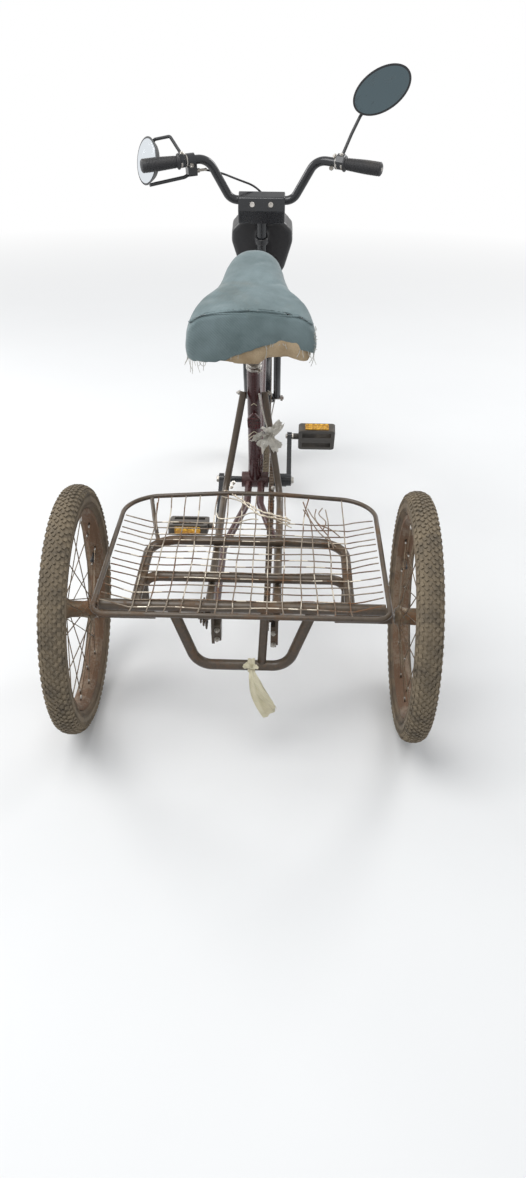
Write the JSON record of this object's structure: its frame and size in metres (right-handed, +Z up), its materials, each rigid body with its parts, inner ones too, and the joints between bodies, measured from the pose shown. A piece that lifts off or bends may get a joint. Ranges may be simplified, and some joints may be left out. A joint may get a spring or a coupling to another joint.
{
  "type": "pedal cargo tricycle",
  "caption": "Adult pedal tricycle with spoked wheels, a wire load carrier over the rear axle, a wide sprung saddle, chain drive, mirrors and a headlamp.",
  "frame": {"origin": "on the ground, halfway between the front and rear axles, on the centre plane", "axes": "+Y forward, +X to the rider's right, +Z up"},
  "size_m": [0.81, 1.754, 1.2027],
  "materials": {
    "dark_paint": "dark brown paint, worn and rusty",
    "maroon_paint": "dark maroon paint with rust spots",
    "black_paint": "glossy black paint",
    "wire_steel": "dull rusty wire",
    "bare_steel": "dull plated steel",
    "rusty_rim": "rusted steel rim",
    "oily_steel": "oily brown chain steel",
    "muddy_tyre": "black rubber under dry brown mud",
    "pedal_plastic": "black moulded plastic",
    "amber": "amber reflector",
    "red_reflector": "dark red reflector",
    "denim": "grey-teal denim with a torn edge",
    "grip_rubber": "black grip",
    "mirror_shell": "black shell",
    "mirror_face": "mirror glass",
    "lamp_shell": "black lamp housing",
    "lens": "clear lens",
    "pale_cloth": "pale yellow cloth",
    "white_cloth": "dirty white cloth"
  },
  "bodies": {
    "frame": {"main_frame": "maroon_paint", "hanger_plates": "dark_paint", "rear_frame": "dark_paint", "carrier_stays": "dark_paint", "carrier_rim": "dark_paint", "carrier_mesh": "wire_steel", "drive_chain": "oily_steel", "seat_post": "bare_steel", "saddle": "denim", "saddle_frame": "bare_steel", "tube_reflector": "red_reflector", "hoop_rag": "pale_cloth", "tube_rag": "white_cloth"},
    "steering": {"fork": "black_paint", "front_axle": "bare_steel", "front_mudguard": "black_paint", "handlebar": "black_paint", "bar_clamp": "black_paint", "grips": "grip_rubber", "brake_lever": "black_paint", "left_mirror": "mirror_shell", "left_mirror_glass": "mirror_face", "right_mirror": "mirror_shell", "right_mirror_glass": "mirror_face", "headlamp": "lamp_shell", "headlamp_lens": "lens", "brake_cable": "grip_rubber"},
    "front_wheel": {"front_tyre": "muddy_tyre", "front_rim": "rusty_rim", "front_hub": "bare_steel"},
    "drive_axle": {"rear_axle": "bare_steel", "axle_sprocket": "oily_steel", "idle_cogs": "oily_steel", "right_rear_tyre": "muddy_tyre", "right_rear_rim": "rusty_rim", "right_rear_hub": "bare_steel"},
    "left_rear_wheel": {"left_rear_tyre": "muddy_tyre", "left_rear_rim": "rusty_rim", "left_rear_hub": "bare_steel"},
    "crank": {"crank_arms": "black_paint", "chainring": "oily_steel"},
    "left_pedal": {"left_pedal": "pedal_plastic", "left_pedal_reflectors": "amber"},
    "right_pedal": {"right_pedal": "pedal_plastic", "right_pedal_reflectors": "amber"}
  },
  "joints": [
    {"name": "steering", "type": "hinge", "parent": "frame", "child": "steering", "pos_m": [0, 0.58785, 0.24593], "axis": [0, -0.3256, 0.9455], "range_deg": [-50, 50]},
    {"name": "front_wheel_spin", "type": "hinge", "parent": "steering", "child": "front_wheel", "pos_m": [0, 0.62, 0.257], "axis": [1, 0, 0], "continuous": true},
    {"name": "drive_axle_spin", "type": "hinge", "parent": "frame", "child": "drive_axle", "pos_m": [0, -0.62, 0.257], "axis": [1, 0, 0], "continuous": true},
    {"name": "left_wheel_spin", "type": "hinge", "parent": "frame", "child": "left_rear_wheel", "pos_m": [0, -0.62, 0.257], "axis": [1, 0, 0], "continuous": true},
    {"name": "crank_spin", "type": "hinge", "parent": "frame", "child": "crank", "pos_m": [0, -0.03, 0.28], "axis": [1, 0, 0], "continuous": true},
    {"name": "right_pedal_spin", "type": "hinge", "parent": "crank", "child": "right_pedal", "pos_m": [0, 0.11887, 0.33864], "axis": [1, 0, 0], "continuous": true},
    {"name": "left_pedal_spin", "type": "hinge", "parent": "crank", "child": "left_pedal", "pos_m": [0, -0.17887, 0.22136], "axis": [1, 0, 0], "continuous": true}
  ]
}
